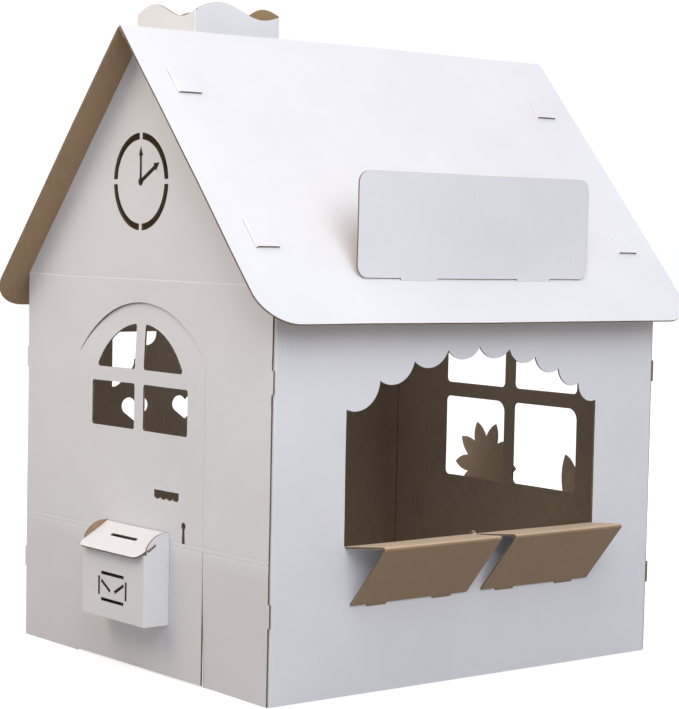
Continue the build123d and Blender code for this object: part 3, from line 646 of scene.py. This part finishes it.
def buckleSheet(data, flatNormals, about):
    # the flat sheet's own normals turn with it, so that slivers don't smudge
    slopes = []
    for vert in data.vertices:
        move, slope = offsetSlopes(vert.co.copy(), about)
        vert.co += move
        slopes.append(slope)
    turned = []
    for loop, normal in zip(data.loops, flatNormals):
        slope = slopes[loop.vertex_index]
        turned.append((normal - Vector([way.dot(normal) for way in slope])).normalized())
    data.normals_split_custom_set(turned)


def makeSheet(pieceName, about):
    mesh = readSheet(about)
    cutGrid(mesh, about)
    layOut(mesh)
    markFaces(mesh, about)
    if about.get("flutes"):
        noteCutLines(mesh, about)
    flatNormals = flatCornerNormals(mesh)
    data = bpy.data.meshes.new(pieceName)
    mesh.to_mesh(data)
    mesh.free()
    data.set_sharp_from_angle(angle=radians(reading["smoothAngle"]))
    # painted shade on the lowest panels, as a share at each point
    if "paintedLowShade" in about:
        low, high = about["paintedLowShade"]
        shares = [1.0 - easedShare(vert.co.z / mm, low, high) for vert in data.vertices]
        grey = data.attributes.new("paintedLowShade", "FLOAT", "POINT")
        grey.data.foreach_set("value", shares)
    buckleSheet(data, flatNormals, about)
    for kind in finishOrder:
        data.materials.append(finishes[kind])
    piece = bpy.data.objects.new(pieceName, data)
    bpy.context.scene.collection.objects.link(piece)
    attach(piece, about["body"])
    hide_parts(about["node"])
    print("sheet", pieceName, len(data.polygons), "faces")


for pieceName, about in sheets.items():
    makeSheet(pieceName, about)
waveTree = fluteTree()
makeFluting("houseFluting", "house", waveTree)
makeFluting("lidFluting", "door", waveTree)

# Stage: a plain pale floor that fades into a white studio. The lift is the least at the object, within
# nearReach metres, and full from farReach metres on.
stage = {"floorSize": 30.0, "floorDrop": 0.2, "floorColour": "#A2A2A2", "floorGrain": "#9E9E9E",
         "grainScale": 3.0, "floorLift": 0.75, "nearReach": 0.9, "farReach": 2.2, "worldColour": "#F0F2FF",
         "worldStrength": 0.49}
pureWhite = (1, 1, 1, 1)


def seenRays(tree):
    rays = addNode(tree, "ShaderNodeLightPath").outputs
    direct = mathStep(tree, "MAXIMUM", rays["Is Camera Ray"], rays["Is Glossy Ray"])
    return mathStep(tree, "MAXIMUM", direct, rays["Is Transmission Ray"])


def floorMaterial():
    # Matt white studio paper: no shine, it only takes the soft shadow
    material, tree = newMaterial("studioPaper_matt")
    place = addNode(tree, "ShaderNodeTexCoord").outputs["Object"]
    grain = addNode(tree, "ShaderNodeTexNoise", {"Scale": stage["grainScale"], "Detail": 2.0},
                    {"Vector": place})
    tone = mixColours(tree, grain.outputs["Fac"], stage["floorColour"], stage["floorGrain"])
    shader = addNode(tree, "ShaderNodeBsdfPrincipled", {"Roughness": 0.95, "Specular IOR Level": 0.0},
                     {"Base Color": tone})
    # seen by the camera the paper is lifted to white, so that only the shadow is left on it
    away = addNode(tree, "ShaderNodeVectorMath", {"operation": "LENGTH"}, {0: place}).outputs["Value"]
    level = mapRange(tree, away, {"reads": (stage["nearReach"], stage["farReach"]),
                                  "gives": (stage["floorLift"], 1.0)})
    lift = mathStep(tree, "MULTIPLY", seenRays(tree), level)
    glow = addNode(tree, "ShaderNodeEmission", {"Color": pureWhite}, {"Strength": lift})
    both = addNode(tree, "ShaderNodeAddShader", links={0: shader.outputs[0], 1: glow.outputs[0]})
    addNode(tree, "ShaderNodeOutputMaterial", links={"Surface": both.outputs[0]})
    return material


def makeFloor():
    half, drop = stage["floorSize"] / 2, -stage["floorDrop"] * mm
    data = bpy.data.meshes.new("studioFloor")
    data.from_pydata([(-half, -half, drop), (half, -half, drop), (half, half, drop), (-half, half, drop)], [],
                     [(0, 1, 2, 3)])
    data.materials.append(floorMaterial())
    floorObject = bpy.data.objects.new("studioFloor", data)
    bpy.context.scene.collection.objects.link(floorObject)


def makeWorld():
    world = bpy.data.worlds.new("whiteStudio")
    world.use_nodes = True
    tree = world.node_tree
    tree.nodes.clear()
    ambient = addNode(tree, "ShaderNodeBackground",
                      {"Color": toLinear(stage["worldColour"]), "Strength": stage["worldStrength"]})
    white = addNode(tree, "ShaderNodeBackground", {"Color": pureWhite, "Strength": 1.0})
    mix = addNode(tree, "ShaderNodeMixShader",
                  links={0: seenRays(tree), 1: ambient.outputs[0], 2: white.outputs[0]})
    addNode(tree, "ShaderNodeOutputWorld", links={"Surface": mix.outputs[0]})
    bpy.context.scene.world = world


# Round softboxes: metres and watts
lamps = {
    "doorSoftbox": {"place": (-1.2, -2.7, 3.0), "aim": (0.0, 0.0, 0.7), "size": 2.6, "power": 48.0,
                    "colour": "#FFEDD2"},
    "hatchSoftbox": {"place": (3.0, -1.2, 3.1), "aim": (0.0, 0.0, 0.7), "size": 3.6, "power": 93.0,
                     "colour": "#F8F9FF"},
    "topSoftbox": {"place": (-0.2, -0.6, 4.6), "aim": (0.1, -0.1, 0.9), "size": 2.4, "power": 20.0,
                   "colour": "#FFF4E4"},
    "backSoftbox": {"place": (-1.2, 3.4, 2.3), "aim": (0.0, 0.3, 0.6), "size": 2.4, "power": 60.0,
                    "colour": "#FFFFFF"},
    "insideFill": {"place": (0.0, 0.0, 0.92), "aim": (0.0, 0.0, 0.0), "size": 0.5, "power": 1.5,
                   "colour": "#C6DEFF"},
}


def makeLamps():
    for name, about in lamps.items():
        light = bpy.data.lights.new(name, "AREA")
        light.shape = "DISK"
        light.size = about["size"]
        light.energy = about["power"]
        light.color = toLinear(about["colour"])[:3]
        lamp = bpy.data.objects.new(name, light)
        way = Vector(about["aim"]) - Vector(about["place"])
        turn = way.to_track_quat("-Z", "Y").to_matrix()
        lamp.matrix_world = Matrix.Translation(about["place"]) @ turn.to_4x4()
        bpy.context.scene.collection.objects.link(lamp)


# The photograph's viewpoint, fitted to the house's own corners: metres, radians and pixels
view = {"place": (3.60922, -2.92691, 0.90471), "yaw": 0.8772942, "pitch": -0.0761211, "roll": 0.0227324,
        "focalPixels": 2103.963, "centre": (372.95, 397.51), "picture": (679, 709), "sensorHeight": 24.0}


def makeCamera():
    yaw, pitch, roll = view["yaw"], view["pitch"], view["roll"]
    forward = Vector((-sin(yaw) * cos(pitch), cos(yaw) * cos(pitch), sin(pitch)))
    level = Vector((cos(yaw), sin(yaw), 0))
    rise = level.cross(forward)
    right = cos(roll) * level + sin(roll) * rise
    up = cos(roll) * rise - sin(roll) * level
    width, height = view["picture"]
    lens = bpy.data.cameras.new("photoCamera")
    lens.sensor_fit = "VERTICAL"
    lens.sensor_height = view["sensorHeight"]
    lens.lens = lens.sensor_height * view["focalPixels"] / height
    lens.shift_x = (width / 2 - view["centre"][0]) / height
    lens.shift_y = (view["centre"][1] - height / 2) / height
    camera = bpy.data.objects.new("photoCamera", lens)
    turn = Matrix((right, up, -forward)).transposed()
    camera.matrix_world = Matrix.Translation(view["place"]) @ turn.to_4x4()
    bpy.context.scene.collection.objects.link(camera)
    bpy.context.scene.camera = camera


makeFloor()
makeWorld()
makeLamps()
makeCamera()
bpy.context.scene.view_settings.view_transform = "Standard"
print("stage, lamps and camera set")
